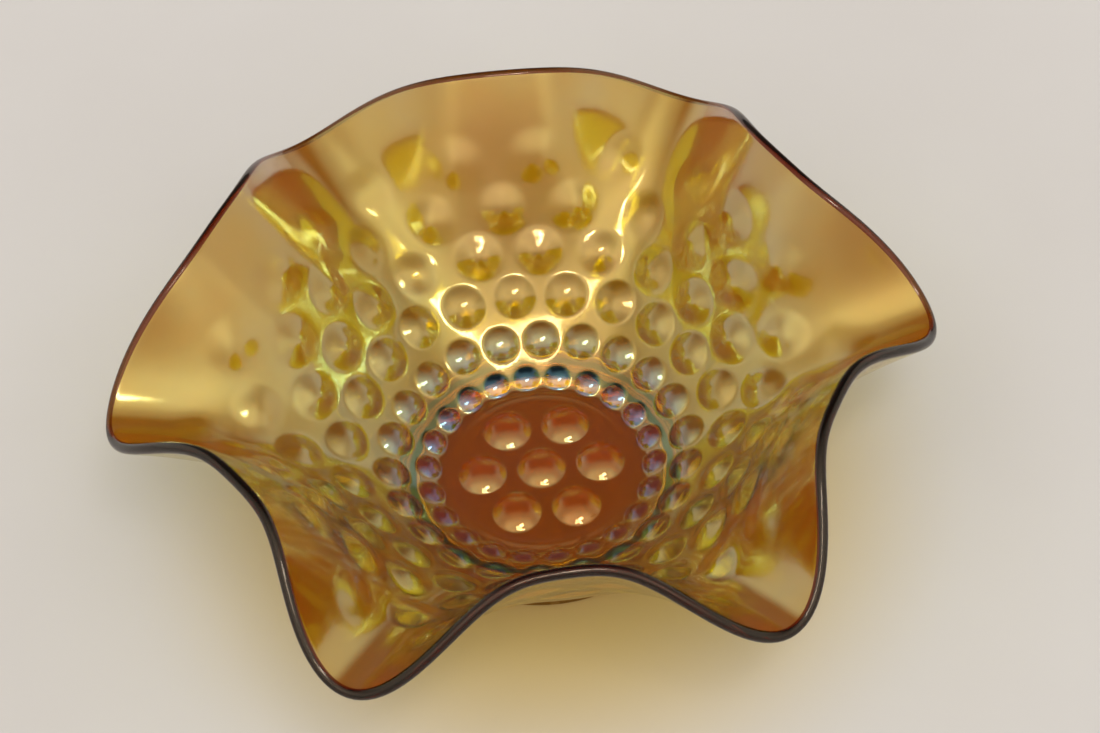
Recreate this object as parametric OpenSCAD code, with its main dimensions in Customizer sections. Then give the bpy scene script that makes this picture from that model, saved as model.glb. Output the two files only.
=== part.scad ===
/* [Foot and well] */
// Outer radius of the foot ring at the bottom
foot_radius = 41; // [38:0.5:42]
// Width of the foot ring at the bottom
foot_width = 4.8; // [4:0.2:6]
// Inward taper of the foot ring's outer side
foot_taper = 0.8; // [0:0.2:1.5]
// Rounding of the foot ring's bottom corners
foot_rounding = 1.2; // [0.8:0.1:1.6]
// Gap between the table and the underside of the well
foot_recess = 2.2; // [1.5:0.1:3]
// Height of the flat floor of the well
floor_height = 6; // [5.5:0.1:6.5]

/* [Wall] */
// Radius of the wall's middle surface where it leaves the well
wall_start_radius = 26.5; // [25:0.5:28]
// Height of the wall's middle surface where it leaves the well
wall_start_height = 4.2; // [4:0.1:4.5]
// Slope of the wall where it leaves the well, in degrees
wall_start_slope = 28; // [25:0.5:32]
// Straight distance from the edge of the well to the rim
wall_reach = 92.6; // [86:0.2:98]
// Mean slope of the line from the edge of the well to the rim, in degrees
wall_lean = 41.3; // [38:0.1:45]
// Slope of the wall at the rim where the lean is the mean one, in degrees
rim_slope = 39.5; // [36:0.5:46]
// Degrees of slope at the rim for each degree of lean
rim_slope_gain = 1.75; // [1.2:0.05:2.4]
// Fullness of the wall's curve, as a share of its reach
wall_fullness = 0.45; // [0.36:0.01:0.48]
// Glass thickness beside the well
thickness_at_well = 3.8; // [3.2:0.1:4.2]
// Glass thickness at the rim
thickness_at_rim = 3; // [2.6:0.1:3.6]

/* [Ruffles] */
// Direction of the first lobe, in degrees
ruffle_direction = 3; // [0:1:59]
// How far a lobe leans out and a fold leans in, in degrees
ruffle_swing = 10.2; // [6:0.2:12]
// How much tighter the folds and lobes are than a plain wave, in degrees
ruffle_tightness = 2; // [0:0.2:3]
// Extra reach of a lobe
ruffle_stretch = 0.8; // [0:0.2:2]
// Side to side unevenness of the lean, in degrees
rim_tilt = 2.7; // [0:0.1:4]
// Direction of the steeper side of the rim
rim_tilt_direction = 323; // [0:1:359]
// Unevenness of the lean between the bowl's two halves and its ends, in degrees
rim_squash = 0.7; // [0:0.1:1.5]
// Direction of one of the two steeper ends
rim_squash_direction = 65; // [0:1:179]
// Extra reach on one side of the bowl
rim_offset = 1.7; // [0:0.1:3]
// Direction of the side with the extra reach
rim_offset_direction = 176; // [0:1:359]

/* [Pressed dots] */
// Number of dots in each ring on the wall
dots_per_ring = 22; // [16:1:24]
// Direction of a dot in the rings with odd numbers
dot_direction = 12.8; // [0:0.2:16]
// Place of each dot ring, as a share of the wall from well to rim
ring_place = [0.05, 0.156, 0.303, 0.464, 0.628, 0.79]; // [0.04:0.001:0.84]
// Diameter of the dots in each ring
ring_dot_diameter = [7.8, 10.6, 12.8, 15, 17, 18]; // [6:0.2:19]
// Height of the dots in each ring
ring_dot_height = [1.5, 1.9, 2.1, 2, 1.5, 0.9]; // [0.6:0.1:2.4]
// Diameter of the dots on the floor of the well
floor_dot_diameter = 13.4; // [10:0.2:14]
// Height of the dots on the floor of the well
floor_dot_height = 2.4; // [1:0.1:3]
// Radius of the circle that the outer floor dots stand on
floor_dot_circle = 16.3; // [15:0.1:17]
// Direction of the first floor dot
floor_dot_direction = 2.7; // [0:0.1:59]

/* [Hidden] */

amber = "#c98a2b";
dark_amber = "#8a4a1c";
rim_brown = "#3a2012";

// Outward lobes round the rim, one node each
ruffle_count = 6;
// Meridian lines that the wall and the rim are built on
meridians = 96;
meridian_step = 360 / meridians;
meridians_per_ruffle = meridians / ruffle_count;
// Share of the wall where the smooth lower wall gives way to the ruffles
ruffle_start = 0.38;
lower_rows = 5;
ruffled_rows = 12;
rim_arc_steps = 6;
// Depth that relief and foot reach into the wall so that no gap opens between them
bury = 0.3;
// Part of the wall whose underside meets the foot and the well, and its sampling
foot_zone = 0.3;
well_zone = 0.08;
zone_step = 0.02;
// Steps for the slope of the wall's surface
angle_nudge = 0.5;
place_nudge = 0.002;
// Facets of a dot that follows the ruffled wall, and how proud its edge stands
dot_spokes = 10;
dot_hoops = 3;
dot_edge = 0.3;
corner_steps = 5;
fine = 96;

floor_dot_count = 6;
foot_inner_radius = foot_radius - foot_width;
wall_handle = wall_fullness * wall_reach;

function unit(v) = v / norm(v);
function polar(length, angle) = length * [cos(angle), sin(angle)];

// Lean and reach of the wall in the direction a, with its ruffles
function ruffle_wave(a) = cos(ruffle_count * (a - ruffle_direction));
function ruffle_overtone(a) = cos(2 * ruffle_count * (a - ruffle_direction));
function lean(a) =
    wall_lean
    - ruffle_swing * ruffle_wave(a)
    - ruffle_tightness * ruffle_overtone(a)
    + rim_tilt * cos(a - rim_tilt_direction)
    + rim_squash * cos(2 * (a - rim_squash_direction));
function reach(a) =
    wall_reach
    + ruffle_stretch * ruffle_wave(a)
    + rim_offset * cos(a - rim_offset_direction);
function slope_at_rim(a) = rim_slope + rim_slope_gain * (lean(a) - wall_lean);

// Cubic curve from the well, s = 0, to the rim, s = 1, as [radius, height]
function cubic(p, q, v, w, s) =
    pow(1 - s, 3) * p
    + 3 * s * pow(1 - s, 2) * q
    + 3 * pow(s, 2) * (1 - s) * v
    + pow(s, 3) * w;
function meridian(a, s) =
    let (
        start = [wall_start_radius, wall_start_height],
        end = start + polar(reach(a), lean(a)),
        after_start = start + polar(wall_handle, wall_start_slope),
        before_end = end - polar(wall_handle, slope_at_rim(a))
    )
    cubic(start, after_start, before_end, end, s);

// Middle surface of the glass, the way up it, and its normal towards the inside
function wall_point(a, s) =
    let (m = meridian(a, s))
    [m.x * cos(a), m.x * sin(a), m.y];
function step_up(a, s) = wall_point(a, s + place_nudge) - wall_point(a, s - place_nudge);
function way_up(a, s) = unit(step_up(a, s));
function way_round(a, s) = wall_point(a + angle_nudge, s) - wall_point(a - angle_nudge, s);
function wall_normal(a, s) = unit(cross(way_up(a, s), way_round(a, s)));
function half_thickness(s) = (thickness_at_well + (thickness_at_rim - thickness_at_well) * s) / 2;

// A point above the glass: side 1 is the inner skin, side -1 the outer one
function skin_point(a, s, side, above = 0) =
    wall_point(a, s) + (side * half_thickness(s) + above) * wall_normal(a, s);
function share(i, count, from, to) = from + (to - from) * i / count;

// Radius and height of the glass's underside near the foot, or of a line lifted into the glass
function underside_at(s, lift = 0) =
    let (p = skin_point(ruffle_direction, s, -1, lift))
    [norm([p.x, p.y]), p.z];
underside = [for (s = [0 : zone_step : foot_zone]) underside_at(s)];
function underside_height(radius) = lookup(radius, underside);

// Sections of the ring solids: inner skin going up, then outer skin coming down
function wall_section(a, from, to, rows) = concat(
    [for (i = [0 : rows]) skin_point(a, share(i, rows, from, to), 1)],
    [for (i = [rows : -1 : 0]) skin_point(a, share(i, rows, from, to), -1)]
);
function rim_section(a) = [
    for (i = [0 : rim_arc_steps])
        let (turn = 180 * i / rim_arc_steps)
        wall_point(a, 1)
        + half_thickness(1) * (cos(turn) * wall_normal(a, 1) + sin(turn) * way_up(a, 1))
];

// Faces between neighbouring sections, of size points each
function side_faces(here, next, size) = [
    for (j = [0 : size - 1])
        let (k = (j + 1) % size)
        each [[here + j, next + j, next + k], [here + j, next + k, here + k]]
];

// A closed solid from one section on each meridian of the full round
module ring_solid(sections) {
    rounds = len(sections);
    size = len(sections[0]);
    polyhedron(
        points = [for (section = sections) each section],
        faces = [
            for (i = [0 : rounds - 1])
                each side_faces(i * size, ((i + 1) % rounds) * size, size)
        ]
    );
}

// A closed solid from wall sections over part of the round, with a flat face at each end
module sector_solid(sections) {
    size = len(sections[0]);
    last = (len(sections) - 1) * size;
    polyhedron(
        points = [for (section = sections) each section],
        faces = concat(
            [for (here = [0 : size : last - size]) each side_faces(here, here + size, size)],
            [
                for (j = [0 : size / 2 - 2])
                    let (k = size - 1 - j)
                    each [
                        [j, j + 1, k - 1],
                        [j, k - 1, k],
                        [last + k - 1, last + j + 1, last + j],
                        [last + k, last + k - 1, last + j]
                    ]
            ]
        )
    );
}

// One outward lobe of the wall, from the fold on one side of it to the fold on the other
module ruffle(number) {
    first = (number - 1.5) * meridians_per_ruffle;
    sector_solid([
        for (i = [first : first + meridians_per_ruffle])
            wall_section(ruffle_direction + i * meridian_step, ruffle_start, 1, ruffled_rows)
    ]);
}

// A round dot with a flat base that is buried in the glass
module round_dot(diameter, height) {
    ball = (pow(diameter / 2, 2) + pow(height, 2)) / (2 * height);
    intersection() {
        translate([0, 0, height - ball]) sphere(r = ball, $fn = fine);
        translate([0, 0, -bury]) cylinder(d = diameter, h = height + 2 * bury, $fn = fine);
    }
}

// A dot that stretches with the ruffled wall: dome, skirt and buried base
module stretched_dot(a, s, diameter, height) {
    radius_here = meridian(a, s).x;
    half_turn = diameter / 2 / radius_here * 180 / PI;
    half_rise = diameter / 2 * 2 * place_nudge / norm(step_up(a, s));
    dome_points = [
        for (hoop = [1 : dot_hoops], spoke = [0 : dot_spokes - 1])
            let (
                out = hoop / dot_hoops,
                turn = 360 * spoke / dot_spokes
            )
            skin_point(
                a + half_turn * out * cos(turn),
                s + half_rise * out * sin(turn),
                1,
                dot_edge + (height - dot_edge) * cos(90 * out)
            )
    ];
    base_points = [
        for (spoke = [0 : dot_spokes - 1])
            let (turn = 360 * spoke / dot_spokes)
            skin_point(a + half_turn * cos(turn), s + half_rise * sin(turn), 1, -bury)
    ];
    top = (dot_hoops + 1) * dot_spokes;
    function after(spoke) = (spoke + 1) % dot_spokes;
    polyhedron(
        points = concat(
            dome_points, base_points, [skin_point(a, s, 1, height), skin_point(a, s, 1, -bury)]
        ),
        faces = concat(
            [for (k = [0 : dot_spokes - 1]) [top, after(k), k]],
            [
                for (hoop = [0 : dot_hoops - 1], k = [0 : dot_spokes - 1])
                    let (inner = hoop * dot_spokes, outer = inner + dot_spokes)
                    each [
                        [inner + k, inner + after(k), outer + after(k)],
                        [inner + k, outer + after(k), outer + k]
                    ]
            ],
            [
                for (k = [0 : dot_spokes - 1])
                    let (base = dot_hoops * dot_spokes)
                    [base + k, base + after(k), top + 1]
            ]
        )
    );
}

// Every second ring is turned by half a step, so that its dots sit between their neighbours
function dot_angle(ring, i) = dot_direction + (i + 0.5 * (ring % 2)) * 360 / dots_per_ring;

module round_dot_ring(ring) {
    for (i = [0 : dots_per_ring - 1]) {
        a = dot_angle(ring, i);
        n = wall_normal(a, ring_place[ring]);
        translate(skin_point(a, ring_place[ring], 1))
            rotate([0, acos(n.z), atan2(n.y, n.x)])
                round_dot(ring_dot_diameter[ring], ring_dot_height[ring]);
    }
}

module stretched_dot_ring(ring) {
    for (i = [0 : dots_per_ring - 1])
        stretched_dot(
            dot_angle(ring, i), ring_place[ring], ring_dot_diameter[ring], ring_dot_height[ring]
        );
}

// Corner of the foot ring's section, turning from the angle start through 90 degrees
function foot_corner(centre_radius, start) = [
    for (i = [0 : corner_steps])
        [centre_radius, foot_rounding] + polar(foot_rounding, start + 90 * i / corner_steps)
];

module foot_ring() {
    top_radius = foot_radius - foot_taper;
    color(dark_amber)
        rotate_extrude($fn = fine)
            polygon(concat(
                foot_corner(foot_inner_radius + foot_rounding, 180),
                foot_corner(foot_radius - foot_rounding, 270),
                [
                    [top_radius, underside_height(top_radius) + bury],
                    [foot_inner_radius, underside_height(foot_inner_radius) + bury]
                ]
            ));
}

module well_floor() {
    wall_edge = skin_point(ruffle_direction, 0, 1);
    color(dark_amber)
        rotate_extrude($fn = fine)
            polygon(concat(
                [
                    [0, foot_recess],
                    [foot_inner_radius, foot_recess],
                    [foot_inner_radius, underside_height(foot_inner_radius)]
                ],
                [for (s = [well_zone : -zone_step : 0]) underside_at(s, bury)],
                [[norm([wall_edge.x, wall_edge.y]), floor_height], [0, floor_height]]
            ));
}

module lower_wall() {
    color(amber)
        ring_solid([
            for (i = [0 : meridians - 1])
                wall_section(ruffle_direction + i * meridian_step, 0, ruffle_start, lower_rows)
        ]);
}

module ruffle_1() {
    color(amber) ruffle(1);
}

module ruffle_2() {
    color(amber) ruffle(2);
}

module ruffle_3() {
    color(amber) ruffle(3);
}

module ruffle_4() {
    color(amber) ruffle(4);
}

module ruffle_5() {
    color(amber) ruffle(5);
}

module ruffle_6() {
    color(amber) ruffle(6);
}

module rim_bead() {
    color(rim_brown)
        ring_solid([
            for (i = [0 : meridians - 1]) rim_section(ruffle_direction + i * meridian_step)
        ]);
}

module floor_dots() {
    color(dark_amber)
        translate([0, 0, floor_height]) {
            round_dot(floor_dot_diameter, floor_dot_height);
            for (i = [0 : floor_dot_count - 1])
                rotate([0, 0, floor_dot_direction + i * 360 / floor_dot_count])
                    translate([floor_dot_circle, 0, 0])
                        round_dot(floor_dot_diameter, floor_dot_height);
        }
}

module dot_ring_1() {
    color(dark_amber) round_dot_ring(0);
}

module dot_ring_2() {
    color(dark_amber) round_dot_ring(1);
}

module dot_ring_3() {
    color(dark_amber) round_dot_ring(2);
}

module dot_ring_4() {
    color(amber) round_dot_ring(3);
}

module dot_ring_5() {
    color(amber) stretched_dot_ring(4);
}

module dot_ring_6() {
    color(amber) stretched_dot_ring(5);
}

foot_ring();
well_floor();
lower_wall();
ruffle_1();
ruffle_2();
ruffle_3();
ruffle_4();
ruffle_5();
ruffle_6();
rim_bead();
floor_dots();
dot_ring_1();
dot_ring_2();
dot_ring_3();
dot_ring_4();
dot_ring_5();
dot_ring_6();
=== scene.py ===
import math

import bpy
import numpy as np
from mathutils import Matrix, Vector


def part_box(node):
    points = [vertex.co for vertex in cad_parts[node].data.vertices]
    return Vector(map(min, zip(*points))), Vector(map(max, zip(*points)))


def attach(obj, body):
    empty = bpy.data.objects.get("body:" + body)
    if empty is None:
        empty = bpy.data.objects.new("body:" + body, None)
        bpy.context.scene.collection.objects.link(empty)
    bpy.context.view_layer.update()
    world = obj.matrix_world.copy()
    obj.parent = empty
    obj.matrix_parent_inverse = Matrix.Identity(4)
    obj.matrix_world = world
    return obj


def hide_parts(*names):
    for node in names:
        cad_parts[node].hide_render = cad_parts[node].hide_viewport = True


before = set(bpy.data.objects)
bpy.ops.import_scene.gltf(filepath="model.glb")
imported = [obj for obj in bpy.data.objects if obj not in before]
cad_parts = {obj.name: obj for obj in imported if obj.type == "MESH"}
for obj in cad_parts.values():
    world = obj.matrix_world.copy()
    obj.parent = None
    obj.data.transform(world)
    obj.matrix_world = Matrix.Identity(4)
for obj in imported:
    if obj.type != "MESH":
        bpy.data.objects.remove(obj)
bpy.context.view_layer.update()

MM = 0.001

# The bowl's wall, as part.scad builds it: lengths in metres, angles in degrees
WALL_START_RADIUS = 26.5 * MM
WALL_START_HEIGHT = 4.2 * MM
WALL_START_SLOPE = 28
WALL_REACH = 92.6 * MM
WALL_LEAN = 41.3
RIM_SLOPE = 39.5
RIM_SLOPE_GAIN = 1.75
WALL_FULLNESS = 0.45
THICKNESS_AT_WELL = 3.8 * MM
THICKNESS_AT_RIM = 3.0 * MM
RUFFLE_COUNT = 6
RUFFLE_DIRECTION = 3
RUFFLE_SWING = 10.2
RUFFLE_TIGHTNESS = 2
RUFFLE_STRETCH = 0.8 * MM
RIM_TILT = 2.7
RIM_TILT_DIRECTION = 323
RIM_SQUASH = 0.7
RIM_SQUASH_DIRECTION = 65
RIM_OFFSET = 1.7 * MM
RIM_OFFSET_DIRECTION = 176

# The raised dots on the wall: place up the wall, diameter, height and crispness of each ring
DOTS_PER_RING = 22
DOT_DIRECTION = 12.8
DOT_RINGS = (
    (0.050, 7.8 * MM, 1.5 * MM, 1.0),
    (0.156, 10.6 * MM, 1.9 * MM, 1.0),
    (0.303, 12.8 * MM, 2.1 * MM, 0.8),
    (0.464, 15.0 * MM, 2.0 * MM, 0.2),
    (0.628, 17.0 * MM, 1.5 * MM, 0.0),
    (0.790, 18.0 * MM, 0.9 * MM, 0.0),
)
FLOOR_DOT_DIAMETER = 13.4 * MM
FLOOR_DOT_HEIGHT = 2.4 * MM
FLOOR_DOT_CIRCLE = 16.3 * MM
FLOOR_DOT_DIRECTION = 2.7
FLOOR_DOT_COUNT = 6

# Slow waves in the skins: each next one is shorter, lower and turned further round, and near the
# rim they fade out
WAVE_COUNT = 6
WAVE_LENGTH = 36 * MM
WAVE_HEIGHT = 0.09 * MM
WAVE_SHORTENING = 0.35
WAVE_TURN = 137.5
WAVE_CLIMB = 0.6
WAVE_FADE = 4

# The floor of the well curves up into the wall
WELL_CURVE_RADIUS = WALL_START_RADIUS - 0.7 * MM
WELL_CURVE_WIDTH = 3.5 * MM
WELL_CURVE_FILL = 0.46 * MM

# The lustre, and the painted shade on the low dots, tell a dot from the wall by its height, less and less
# up to this place on the wall
DOT_FULL_HEIGHT = 0.5 * MM
DOT_FADE_PLACE = 0.75

# Mesh density: meridians on the inside and outside, and rows up the glass
INSIDE_MERIDIANS = 432
OUTSIDE_MERIDIANS = 216
FLOOR_CELL = 0.6 * MM
WALL_ROWS = 132
RIM_ROWS = 10
OUTSIDE_ROWS = 64
CORNER_ROWS = 6

# Material slots of the bowl's mesh: the inside has slot 0
OUTSIDE_SLOT = 1
RIM_SLOT = 2
FOOT_SLOT = 3

# The camera stands where the photograph was taken from: angles in degrees, lens in millimetres
CAMERA_ELEVATION = 50.53
CAMERA_ROLL = -4.35
CAMERA_DISTANCE = 0.7248
CAMERA_TARGET = (4.43 * MM, 41.95 * MM, 0)
CAMERA_LENS = 82.37

# The CAD rim's facets cut the outermost 0.2 mm off the smooth curve
ROUND_TO_FACETS = 0.998

FLOOR_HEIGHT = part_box("well_floor")[1].z
FOOT_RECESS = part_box("well_floor")[0].z
FOOT_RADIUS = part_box("foot_ring")[1].x
FOOT_WIDTH = 4.8 * MM
FOOT_ROUNDING = 1.2 * MM
FOOT_TAPER = 0.8 * MM
FOOT_FILLET = 0.8 * MM
FOOT_TOP = 9.8 * MM
FOOT_SIDE_TOP = 6 * MM
FOOT_SIDE_LOW = 2 * MM
RECESS_FILLET = 0.6 * MM


def cosd(a):
    return np.cos(np.radians(a))


def sind(a):
    return np.sin(np.radians(a))


# ---- the middle surface of the glass ----

def lean(a):
    wave = RUFFLE_COUNT * (a - RUFFLE_DIRECTION)
    return (
        WALL_LEAN
        - RUFFLE_SWING * cosd(wave)
        - RUFFLE_TIGHTNESS * cosd(2 * wave)
        + RIM_TILT * cosd(a - RIM_TILT_DIRECTION)
        + RIM_SQUASH * cosd(2 * (a - RIM_SQUASH_DIRECTION))
    )


def reach(a):
    wave = RUFFLE_COUNT * (a - RUFFLE_DIRECTION)
    return WALL_REACH + RUFFLE_STRETCH * cosd(wave) + RIM_OFFSET * cosd(a - RIM_OFFSET_DIRECTION)


def meridian(a, s):
    """Radius and height of the middle surface in direction a, at share s of the way to the rim."""
    handle = WALL_FULLNESS * WALL_REACH
    slope = RIM_SLOPE + RIM_SLOPE_GAIN * (lean(a) - WALL_LEAN)
    start = np.array([WALL_START_RADIUS, WALL_START_HEIGHT])
    after = start + handle * np.array([cosd(WALL_START_SLOPE), sind(WALL_START_SLOPE)])
    end = start + reach(a)[..., None] * np.stack([cosd(lean(a)), sind(lean(a))], -1)
    before = end - handle * np.stack([cosd(slope), sind(slope)], -1)
    s = s[..., None]
    return (
        (1 - s) ** 3 * start
        + 3 * s * (1 - s) ** 2 * after
        + 3 * s**2 * (1 - s) * before
        + s**3 * end
    )


def wall_point(a, s):
    m = meridian(a, s)
    return np.stack([m[..., 0] * cosd(a), m[..., 0] * sind(a), m[..., 1]], -1)


def unit(v):
    return v / np.linalg.norm(v, axis=-1, keepdims=True)


def way_up(a, s):
    return unit(wall_point(a, s + 0.002) - wall_point(a, s - 0.002))


def wall_normal(a, s):
    round_step = wall_point(a + 0.5, s) - wall_point(a - 0.5, s)
    return unit(np.cross(way_up(a, s), round_step))


def half_thickness(s):
    return (THICKNESS_AT_WELL + (THICKNESS_AT_RIM - THICKNESS_AT_WELL) * s) / 2


# ---- the relief of raised dots ----

def dome(distance, diameter, height, crispness):
    """Height of a raised dot at a distance from its centre: a ball cap, softened where crispness is low."""
    out = np.clip(distance / (diameter / 2), 0, 1)
    ball = ((diameter / 2) ** 2 + height**2) / (2 * height)
    cap = np.sqrt(np.maximum(ball**2 - (out * diameter / 2) ** 2, 0)) - (ball - height)
    soft = height * (0.5 + 0.5 * np.cos(math.pi * out))
    return crispness * cap + (1 - crispness) * soft


def wall_relief(points):
    """Height of the dots above the inner skin at each point of the middle surface."""
    relief = np.zeros(points.shape[:-1])
    for ring, (place, diameter, height, crispness) in enumerate(DOT_RINGS):
        turn = DOT_DIRECTION + (np.arange(DOTS_PER_RING) + 0.5 * (ring % 2)) * 360 / DOTS_PER_RING
        centres = wall_point(turn, np.full(DOTS_PER_RING, place))
        for centre in centres:
            distance = np.linalg.norm(points - centre, axis=-1)
            near = distance < diameter / 2
            relief[near] = np.maximum(
                relief[near], dome(distance[near], diameter, height, crispness)
            )
    return relief


def skin_waves(points, s, phase):
    """The slow unevenness that hand crimping leaves in a skin, as a height that fades out at the rim."""
    height = np.zeros(points.shape[:-1])
    for k in range(WAVE_COUNT):
        length = WAVE_LENGTH / (1 + WAVE_SHORTENING * k)
        turn = WAVE_TURN * k + 40 * phase
        flat = points[..., 0] * cosd(turn) + points[..., 1] * sind(turn)
        along = flat + WAVE_CLIMB * points[..., 2]
        height += WAVE_HEIGHT / (1 + k) * np.sin(2 * math.pi * along / length + 1.7 * k + phase)
    return height * np.minimum(1, WAVE_FADE * (1 - s))


def floor_relief(x, y):
    spots = [(0.0, 0.0)] + [
        (
            FLOOR_DOT_CIRCLE * cosd(FLOOR_DOT_DIRECTION + i * 360 / FLOOR_DOT_COUNT),
            FLOOR_DOT_CIRCLE * sind(FLOOR_DOT_DIRECTION + i * 360 / FLOOR_DOT_COUNT),
        )
        for i in range(FLOOR_DOT_COUNT)
    ]
    relief = np.zeros(np.shape(x))
    for cx, cy in spots:
        distance = np.hypot(x - cx, y - cy)
        relief = np.maximum(relief, dome(distance, FLOOR_DOT_DIAMETER, FLOOR_DOT_HEIGHT, 1.0))
    return relief


# ---- rings of points, from the middle of the floor over the rim to the middle of the underside ----

def meridian_angles(count):
    return RUFFLE_DIRECTION + np.arange(count) * 360 / count


def floor_rings(edge_radius):
    """Rings over the floor, with fewer points towards its middle."""
    rings = []
    for radius in np.arange(FLOOR_CELL, edge_radius - FLOOR_CELL / 2, FLOOR_CELL):
        count = INSIDE_MERIDIANS
        while count % 2 == 0 and radius / edge_radius < 0.5 * count / INSIDE_MERIDIANS:
            count //= 2
        a = meridian_angles(count)
        x, y = radius * cosd(a), radius * sind(a)
        rings.append(np.stack([x, y, FLOOR_HEIGHT + floor_relief(x, y)], -1))
    return rings


def inside_edge():
    a = meridian_angles(INSIDE_MERIDIANS)
    at = np.zeros(len(a))
    return wall_point(a, at) + half_thickness(0) * wall_normal(a, at)


def inside_rings():
    a = meridian_angles(INSIDE_MERIDIANS)
    rings = []
    for s in np.linspace(0, 1, WALL_ROWS + 1):
        at = np.full(len(a), s)
        middle = wall_point(a, at)
        above = half_thickness(s) + wall_relief(middle) + skin_waves(middle, s, 0)
        rings.append(middle + above[:, None] * wall_normal(a, at))
    return rings


def rim_rings():
    a = meridian_angles(INSIDE_MERIDIANS)
    at = np.ones(len(a))
    middle, normal, up = wall_point(a, at), wall_normal(a, at), way_up(a, at)
    turns = [180 * i / RIM_ROWS for i in range(1, RIM_ROWS)]
    return [middle + half_thickness(1) * (cosd(t) * normal + sind(t) * up) for t in turns]


def outer_skin(a, s):
    middle = wall_point(a, s)
    below = half_thickness(s) + skin_waves(middle, s, 2)
    return middle - below[:, None] * wall_normal(a, s)


def share_at_radius(a, radius):
    """The share of the way up the wall at which its outer skin has this radius, found by halving."""
    low, high = np.full(len(a), 0.02), np.full(len(a), 0.4)
    for _ in range(24):
        middle = (low + high) / 2
        inside = np.linalg.norm(outer_skin(a, middle)[:, :2], axis=1) < radius
        low, high = np.where(inside, middle, low), np.where(inside, high, middle)
    return low


def outside_rings(foot_radius):
    """The outer skin from the rim down to the top of the foot."""
    a = meridian_angles(OUTSIDE_MERIDIANS)
    foot = share_at_radius(a, foot_radius + FOOT_FILLET)
    rings = [outer_skin(a, 1 + (foot - 1) * t) for t in np.linspace(0, 1, OUTSIDE_ROWS + 1)]
    edge = rings[-1]
    for turn in (30, 60, 90):
        radius = foot_radius + FOOT_FILLET * (1 - sind(turn))
        height = edge[:, 2] - FOOT_FILLET * (1 - cosd(turn))
        rings.append(np.stack([radius * cosd(a), radius * sind(a), height], -1))
    return rings


def lathe_rings(outline):
    a = meridian_angles(OUTSIDE_MERIDIANS)
    return [
        np.stack([r * cosd(a), r * sind(a), np.full(len(a), z)], -1) for r, z in outline
    ]


def corner(radius, height, size, start, sweep):
    """Points of a rounded corner about a centre, turning from start degrees."""
    turns = [start + sweep * i / CORNER_ROWS for i in range(CORNER_ROWS + 1)]
    return [(radius + size * cosd(t), height + size * sind(t)) for t in turns]


def foot_outline():
    """From the outer top of the foot, round its resting face, to the middle of the underside."""
    inner = FOOT_RADIUS - FOOT_WIDTH
    sides = (FOOT_SIDE_TOP, (FOOT_SIDE_TOP + FOOT_SIDE_LOW) / 2, FOOT_SIDE_LOW)
    outline = [(FOOT_RADIUS - FOOT_TAPER * z / FOOT_TOP, z) for z in sides]
    outline += corner(FOOT_RADIUS - FOOT_ROUNDING, FOOT_ROUNDING, FOOT_ROUNDING, 0, -90)
    outline += corner(inner + FOOT_ROUNDING, FOOT_ROUNDING, FOOT_ROUNDING, -90, -90)
    underside = inner - RECESS_FILLET
    outline += corner(underside, FOOT_RECESS - RECESS_FILLET, RECESS_FILLET, 0, 90)
    outline += [(underside * t, FOOT_RECESS) for t in (0.9, 0.75, 0.6, 0.45, 0.3, 0.15)]
    return outline


def bridge(lower, upper):
    """Faces between two rings, given as index ranges; the counts are equal or one is double the other."""
    n, m = len(lower), len(upper)
    if n == m:
        return [
            (lower[i], lower[(i + 1) % n], upper[(i + 1) % n], upper[i]) for i in range(n)
        ]
    faces = []
    small, large, flip = (lower, upper, False) if n < m else (upper, lower, True)
    for i in range(len(small)):
        a, b = small[i], small[(i + 1) % len(small)]
        c, d, e = large[2 * i], large[2 * i + 1], large[(2 * i + 2) % len(large)]
        made = [(a, b, d), (a, d, c), (b, e, d)]
        faces += [tuple(reversed(f)) for f in made] if flip else made
    return faces


def soften_well_edge(inside):
    """Fills the corner between the floor and the wall with a wide soft curve."""
    radius = np.hypot(inside[:, 0], inside[:, 1])
    away = np.abs(radius - WELL_CURVE_RADIUS) / WELL_CURVE_WIDTH
    inside[:, 2] = np.maximum(inside[:, 2], FLOOR_HEIGHT)
    inside[:, 2] += WELL_CURVE_FILL * np.clip(1 - away, 0, 1) ** 2


def inside_point_count():
    edge_radius = float(np.linalg.norm(inside_edge()[0, :2]))
    floor = sum(len(ring) for ring in floor_rings(edge_radius))
    return 1 + floor + (WALL_ROWS + 1) * INSIDE_MERIDIANS


def glass_mesh():
    edge_radius = float(np.linalg.norm(inside_edge()[0, :2]))
    inside = inside_rings()
    outside = outside_rings(FOOT_RADIUS - FOOT_TAPER)
    rings = floor_rings(edge_radius) + inside + rim_rings() + outside + lathe_rings(foot_outline())
    top = np.array([[0, 0, FLOOR_HEIGHT + FLOOR_DOT_HEIGHT]])
    bottom = np.array([[0, 0, FOOT_RECESS]])
    points = np.concatenate([top] + rings + [bottom])
    soften_well_edge(points[: inside_point_count()])
    points[:, :2] *= ROUND_TO_FACETS
    starts = np.cumsum([1] + [len(r) for r in rings])
    index = [list(range(s, s + len(r))) for s, r in zip(starts, rings)]
    faces = [(0, index[0][i], index[0][(i + 1) % len(index[0])]) for i in range(len(index[0]))]
    for lower, upper in zip(index, index[1:]):
        faces += [tuple(reversed(f)) for f in bridge(lower, upper)]
    last = index[-1]
    faces += [(last[(i + 1) % len(last)], last[i], len(points) - 1) for i in range(len(last))]
    return points, faces


# ---- helpers that build shader nodes ----

def link_or_set(links, socket, value):
    if isinstance(value, bpy.types.NodeSocket):
        links.new(value, socket)
    else:
        socket.default_value = value


def maths(tree, operation, *values):
    node = tree.nodes.new("ShaderNodeMath")
    node.operation = operation
    for socket, value in zip(node.inputs, values):
        link_or_set(tree.links, socket, value)
    return node.outputs[0]


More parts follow.
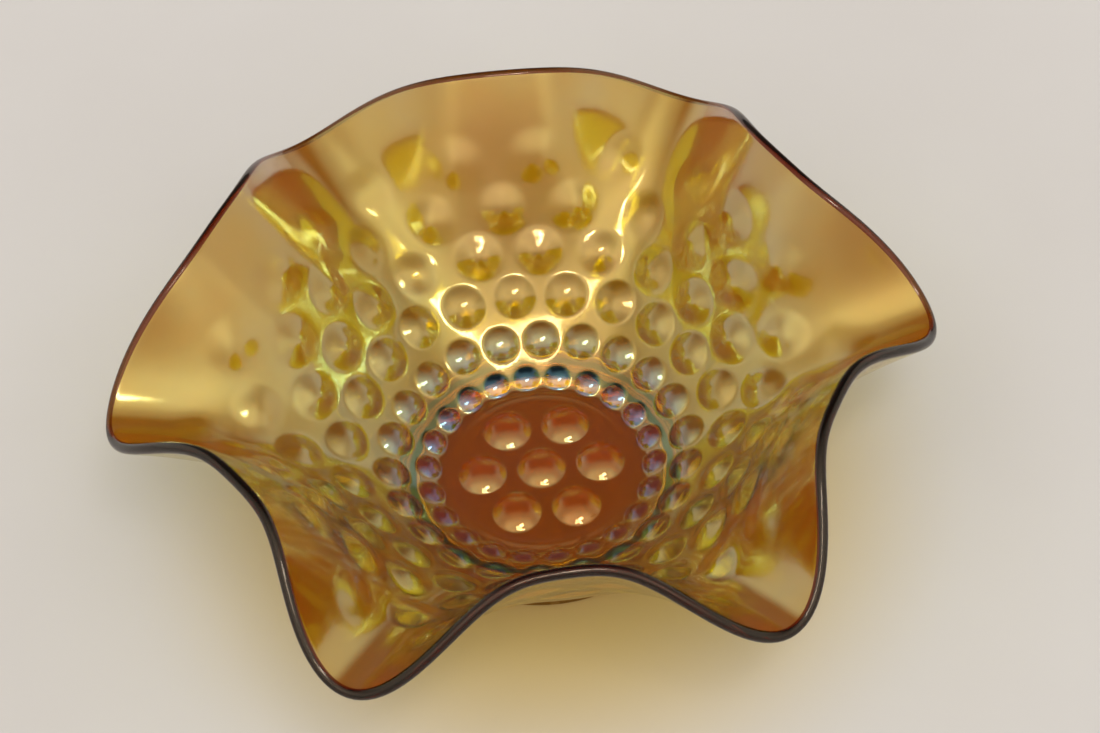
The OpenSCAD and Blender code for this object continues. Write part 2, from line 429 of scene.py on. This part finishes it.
def rise(tree, value, start, end):
    """A soft step from 0 to 1 as value goes from start to end."""
    node = tree.nodes.new("ShaderNodeMapRange")
    node.interpolation_type = "SMOOTHSTEP"
    link_or_set(tree.links, node.inputs["Value"], value)
    node.inputs["From Min"].default_value = start
    node.inputs["From Max"].default_value = end
    return node.outputs["Result"]


def window(tree, value, low, high, soft):
    """1 between low and high, with soft edges outside them."""
    after = rise(tree, value, low - soft, low)
    before = rise(tree, value, high + soft, high)
    return maths(tree, "MULTIPLY", after, before)


def outward(tree, place, start, end):
    """0 near the bowl's axis and 1 far from it, by the distance in metres."""
    flat = tree.nodes.new("ShaderNodeVectorMath")
    flat.operation = "MULTIPLY"
    flat.inputs[1].default_value = (1, 1, 0)
    length = tree.nodes.new("ShaderNodeVectorMath")
    length.operation = "LENGTH"
    tree.links.new(place, flat.inputs[0])
    tree.links.new(flat.outputs[0], length.inputs[0])
    return rise(tree, length.outputs["Value"], start, end)


def blend(tree, share, first, second):
    node = tree.nodes.new("ShaderNodeMix")
    node.data_type = "RGBA"
    for name, value in (("Factor", share), ("A", first), ("B", second)):
        link_or_set(tree.links, node.inputs[name], value)
    return node.outputs["Result"]


def drift(tree, place, scale, low, high):
    """A slow uneven change from 0 to 1 over the glass."""
    noise = tree.nodes.new("ShaderNodeTexNoise")
    noise.inputs["Scale"].default_value = scale
    noise.inputs["Detail"].default_value = 3
    tree.links.new(place, noise.inputs["Vector"])
    return rise(tree, noise.outputs["Fac"], low, high)


# ---- the glass materials ----

def object_place(tree):
    return tree.nodes.new("ShaderNodeTexCoord").outputs["Object"]


def dot_share(tree):
    """The mesh's own record of how much of a raised dot each point belongs to."""
    dots = tree.nodes.new("ShaderNodeAttribute")
    dots.attribute_name = "dot"
    return dots.outputs["Fac"]


def lustre_colour_and_painted_shade(tree, place):
    """Straw and olive gold that drifts over the wall, copper in the well, and browner on the low dots,
    where the brown is partly the lustre's colour and partly painted shade for the dark that the domes
    mirror.
    """
    gold = blend(tree, drift(tree, place, 28, 0.35, 0.65), (0.96, 0.93, 0.22, 1), (0.98, 1.0, 0.38, 1))
    wall = blend(tree, outward(tree, place, 0.02, 0.062), (0.94, 0.62, 0.12, 1), gold)
    # Painted shade in part: the low dots are browner, standing in for the dark that the domes mirror.
    tint = blend(tree, outward(tree, place, 0.022, 0.03), (1.0, 0.5, 0.14, 1), (0.6, 0.36, 0.1, 1))
    return blend(tree, dot_share(tree), wall, tint)


def film_thickness(tree, place):
    """The lustre's thickness in nanometres: gold on the wall, dim violet on the low dots round the well."""
    wall = maths(tree, "MULTIPLY_ADD", drift(tree, place, 22, 0.3, 0.7), 20, 225)
    low = maths(tree, "SUBTRACT", 1.0, outward(tree, place, 0.03, 0.055))
    low_ring = maths(tree, "MULTIPLY", low, outward(tree, place, 0.023, 0.027))
    low_dots = maths(tree, "MULTIPLY", low_ring, dot_share(tree))
    return maths(tree, "MULTIPLY_ADD", low_dots, -58, wall)


def fine_ripple(tree, place):
    """The faint unevenness of a pressed and fire-polished skin."""
    noise = tree.nodes.new("ShaderNodeTexNoise")
    noise.inputs["Scale"].default_value = 160
    noise.inputs["Detail"].default_value = 2
    tree.links.new(place, noise.inputs["Vector"])
    bump = tree.nodes.new("ShaderNodeBump")
    bump.inputs["Strength"].default_value = 0.12
    bump.inputs["Distance"].default_value = 0.0004
    tree.links.new(noise.outputs["Fac"], bump.inputs["Height"])
    return bump.outputs["Normal"]


def amber_depth(tree):
    """Glass that takes out more blue, and so turns deeper amber, the further light goes through it."""
    depth = tree.nodes.new("ShaderNodeVolumeAbsorption")
    depth.inputs["Color"].default_value = (0.996, 0.965, 0.02, 1)
    depth.inputs["Density"].default_value = 560
    tree.links.new(depth.outputs[0], tree.nodes["Material Output"].inputs["Volume"])


def glass_shader(name):
    """A new clear amber glass, for the materials below to colour."""
    material = bpy.data.materials.new(name)
    material.use_nodes = True
    tree = material.node_tree
    shader = tree.nodes["Principled BSDF"]
    shader.inputs["Transmission Weight"].default_value = 1
    shader.inputs["IOR"].default_value = 1.52
    amber_depth(tree)
    return material, tree, shader


def film_material():
    """The inside: amber glass under a sprayed gold lustre film, with painted shade browning its low dots.
    """
    material, tree, shader = glass_shader("amber_lustre_glass")
    place = object_place(tree)
    tree.links.new(lustre_colour_and_painted_shade(tree, place), shader.inputs["Base Color"])
    lustre = maths(tree, "MULTIPLY", outward(tree, place, 0.02, 0.045), 0.06)
    tree.links.new(lustre, shader.inputs["Metallic"])
    tree.links.new(film_thickness(tree, place), shader.inputs["Thin Film Thickness"])
    shader.inputs["Thin Film IOR"].default_value = 1.86
    uneven = maths(tree, "MULTIPLY_ADD", drift(tree, place, 45, 0.3, 0.7), 0.06, 0.11)
    duller = maths(tree, "MULTIPLY_ADD", outward(tree, place, 0.02, 0.05), 0.6, 0.4)
    tree.links.new(maths(tree, "MULTIPLY", uneven, duller), shader.inputs["Roughness"])
    tree.links.new(fine_ripple(tree, place), shader.inputs["Normal"])
    gloss = maths(tree, "MULTIPLY_ADD", outward(tree, place, 0.022, 0.028), 0.2, 0.2)
    tree.links.new(gloss, shader.inputs["Coat Weight"])
    shader.inputs["Coat IOR"].default_value = 1.6
    shader.inputs["Coat Roughness"].default_value = 0.03
    return material


def rim_material():
    """The fire-polished edge, where the glass is seen through its full depth."""
    material, tree, shader = glass_shader("amber_rim_glass")
    shader.inputs["Base Color"].default_value = (0.26, 0.08, 0.015, 1)
    shader.inputs["Specular Tint"].default_value = (0.9, 0.75, 0.6, 1)
    shader.inputs["Roughness"].default_value = 0.06
    return material


def foot_material():
    """The foot and the underside of the well: bright orange, and a little duller where the foot rests."""
    material, tree, shader = glass_shader("amber_foot_glass")
    shader.inputs["Base Color"].default_value = (1.0, 0.46, 0.07, 1)
    shader.inputs["Transmission Weight"].default_value = 0.86
    place = object_place(tree)
    height = tree.nodes.new("ShaderNodeSeparateXYZ")
    tree.links.new(place, height.inputs[0])
    polish = rise(tree, height.outputs["Z"], 0.0001, 0.0006)
    tree.links.new(maths(tree, "MULTIPLY_ADD", polish, -0.1, 0.15), shader.inputs["Roughness"])
    return material


def plain_material():
    """The outside of the wall: amber glass with only a trace of the lustre."""
    material, tree, shader = glass_shader("amber_glass")
    place = object_place(tree)
    straw = blend(tree, drift(tree, place, 18, 0.35, 0.65), (0.98, 0.93, 0.3, 1), (1.0, 1.0, 0.42, 1))
    tree.links.new(straw, shader.inputs["Base Color"])
    shader.inputs["Metallic"].default_value = 0.03
    shader.inputs["Specular IOR Level"].default_value = 0.3
    shader.inputs["Specular Tint"].default_value = (1.0, 0.78, 0.4, 1)
    shader.inputs["Roughness"].default_value = 0.1
    return material


# ---- the bowl's object, and which material each part of it has ----

def make_object(name, points, faces, *materials):
    mesh = bpy.data.meshes.new(name)
    mesh.from_pydata([tuple(p) for p in points], [], faces)
    mesh.update()
    mesh.shade_smooth()
    for material in materials:
        mesh.materials.append(material)
    piece = bpy.data.objects.new(name, mesh)
    bpy.context.scene.collection.objects.link(piece)
    return piece


def set_dot_attribute(mesh):
    """How much of a raised dot each point belongs to: 1 on the low dots, fading out up the wall."""
    co = np.empty(len(mesh.vertices) * 3)
    mesh.vertices.foreach_get("co", co)
    x, y = co.reshape(-1, 3)[:, :2].T
    value = np.zeros(len(x))
    radius = np.hypot(x, y)
    on_floor = radius < WALL_START_RADIUS
    inside = np.arange(len(x)) < inside_point_count()
    value[on_floor & inside] = np.clip(floor_relief(x, y)[on_floor & inside] / DOT_FULL_HEIGHT, 0, 1)
    a = meridian_angles(INSIDE_MERIDIANS)
    start = inside_point_count() - (WALL_ROWS + 1) * INSIDE_MERIDIANS
    for row, s in enumerate(np.linspace(0, 1, WALL_ROWS + 1)):
        relief = wall_relief(wall_point(a, np.full(len(a), s)))
        fade = max(0, 1 - s / DOT_FADE_PLACE)
        first = start + row * INSIDE_MERIDIANS
        value[first : first + INSIDE_MERIDIANS] = np.clip(relief / DOT_FULL_HEIGHT, 0, 1) * fade
    layer = mesh.attributes.new("dot", "FLOAT", "POINT")
    layer.data.foreach_set("value", value.astype(np.float32))


def set_outside_faces(mesh):
    """Gives each part of the mesh its material slot, by the order in which its points were made."""
    rim = inside_point_count() - 1
    outside = rim + 1 + (RIM_ROWS - 1) * INSIDE_MERIDIANS
    foot = outside + (OUTSIDE_ROWS + 1) * OUTSIDE_MERIDIANS
    for face in mesh.polygons:
        if max(face.vertices) > foot:
            face.material_index = FOOT_SLOT
        elif max(face.vertices) > outside + OUTSIDE_MERIDIANS:
            face.material_index = OUTSIDE_SLOT
        elif max(face.vertices) > rim:
            face.material_index = RIM_SLOT


# ---- the studio ----

def make_floor():
    """A plain pale floor, with golden light painted into its colour round the bowl's foot, on top of the
    light that the amber glass really throws there.
    """
    points = [(-3, -3, 0), (3, -3, 0), (3, 3, 0), (-3, 3, 0)]
    material = bpy.data.materials.new("pale_floor")
    material.use_nodes = True
    tree = material.node_tree
    shader = tree.nodes["Principled BSDF"]
    place = object_place(tree)
    pale = blend(tree, drift(tree, place, 9, 0.2, 0.8), (0.63, 0.605, 0.61, 1), (0.66, 0.64, 0.65, 1))
    # Painted light: a golden tint round the foot in the floor's colour.
    painted_glow = blend(tree, outward(tree, place, 0.045, 0.12), (0.6, 0.45, 0.19, 1), pale)
    tree.links.new(painted_glow, shader.inputs["Base Color"])
    shader.inputs["Roughness"].default_value = 0.8
    floor = make_object("floor", points, [(0, 1, 2, 3)], material)


def make_light(name, power, size, place, target):
    light = bpy.data.lights.new(name, "AREA")
    light.energy = power
    light.shape = "RECTANGLE"
    light.size, light.size_y = size
    lamp = bpy.data.objects.new(name, light)
    lamp.location = place
    lamp.rotation_euler = (Vector(target) - Vector(place)).to_track_quat("-Z", "Y").to_euler()
    bpy.context.scene.collection.objects.link(lamp)


def soft_light(tree, x, tilt, x_range, x_soft, tilt_range, tilt_soft, strength):
    """A soft-edged light in the sky: x is the direction's sideways part, tilt its angle from overhead."""
    across = window(tree, x, *x_range, x_soft)
    along = window(tree, tilt, *(math.radians(t) for t in tilt_range), math.radians(tilt_soft))
    return maths(tree, "MULTIPLY", maths(tree, "MULTIPLY", across, along), strength)


def make_world():
    """A soft studio: a wide light over the front with a small bright pane, side lights and a dim room."""
    world = bpy.data.worlds.new("studio")
    bpy.context.scene.world = world
    world.use_nodes = True
    tree = world.node_tree
    place = tree.nodes.new("ShaderNodeTexCoord")
    split = tree.nodes.new("ShaderNodeSeparateXYZ")
    tree.links.new(place.outputs["Generated"], split.inputs["Vector"])
    x, y, z = split.outputs
    tilt = maths(tree, "ARCTAN2", maths(tree, "MULTIPLY", y, -1.0), z)
    room = maths(tree, "MULTIPLY_ADD", rise(tree, z, -0.1, 0.9), 0.1, 0.58)
    dark_wall = maths(tree, "MULTIPLY", window(tree, x, -0.4, 0.4, 0.3), rise(tree, y, 0.05, 0.5))
    not_back = maths(tree, "MULTIPLY_ADD", dark_wall, -0.85, 1.0)
    room = maths(tree, "MULTIPLY", room, not_back)
    not_front = maths(tree, "SUBTRACT", 1.0, rise(tree, maths(tree, "MULTIPLY", y, -1.0), 0.05, 0.7))
    low_band = maths(tree, "MULTIPLY", window(tree, z, 0.0, 0.4, 0.3), not_front)
    low_band = maths(tree, "MULTIPLY", low_band, not_back)
    lights = [
        soft_light(tree, x, tilt, (-0.45, 0.45), 0.4, (22, 44), 30, 0.95),
        soft_light(tree, x, tilt, (-0.1, 0.14), 0.02, (26, 36), 2, 7.0),
        soft_light(tree, x, tilt, (-0.9, -0.6), 0.35, (38, 72), 25, 0.3),
        soft_light(tree, x, tilt, (0.6, 0.85), 0.35, (38, 72), 25, 0.4),
        maths(tree, "MULTIPLY", low_band, 0.35),
    ]
    total = room
    for light in lights:
        total = maths(tree, "ADD", total, light)
    background = tree.nodes["Background"]
    background.inputs["Color"].default_value = (1.0, 0.96, 0.87, 1)
    tree.links.new(total, background.inputs["Strength"])


def make_camera():
    elevation = math.radians(CAMERA_ELEVATION)
    back = Vector((0, -math.cos(elevation), math.sin(elevation)))
    camera_data = bpy.data.cameras.new("camera")
    camera_data.lens = CAMERA_LENS
    camera_data.sensor_width = 36
    camera_data.clip_start = 0.01
    camera = bpy.data.objects.new("camera", camera_data)
    bpy.context.scene.collection.objects.link(camera)
    level = back.to_track_quat("Z", "Y")
    camera.matrix_world = (
        Matrix.Translation(Vector(CAMERA_TARGET) + back * CAMERA_DISTANCE)
        @ level.to_matrix().to_4x4()
        @ Matrix.Rotation(math.radians(CAMERA_ROLL), 4, "Z")
    )
    bpy.context.scene.camera = camera


def main():
    points, faces = glass_mesh()
    bowl = make_object(
        "bowl_glass", points, faces,
        film_material(), plain_material(), rim_material(), foot_material(),
    )
    set_dot_attribute(bowl.data)
    set_outside_faces(bowl.data)
    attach(bowl, "root")
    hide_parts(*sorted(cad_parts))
    make_floor()
    make_light("sparkle", 2.2, (0.3, 0.2), (0.25, -0.6, 1.35), (0, 0, 0.03))
    make_world()
    make_camera()
    bpy.context.scene.view_settings.view_transform = "Standard"


main()
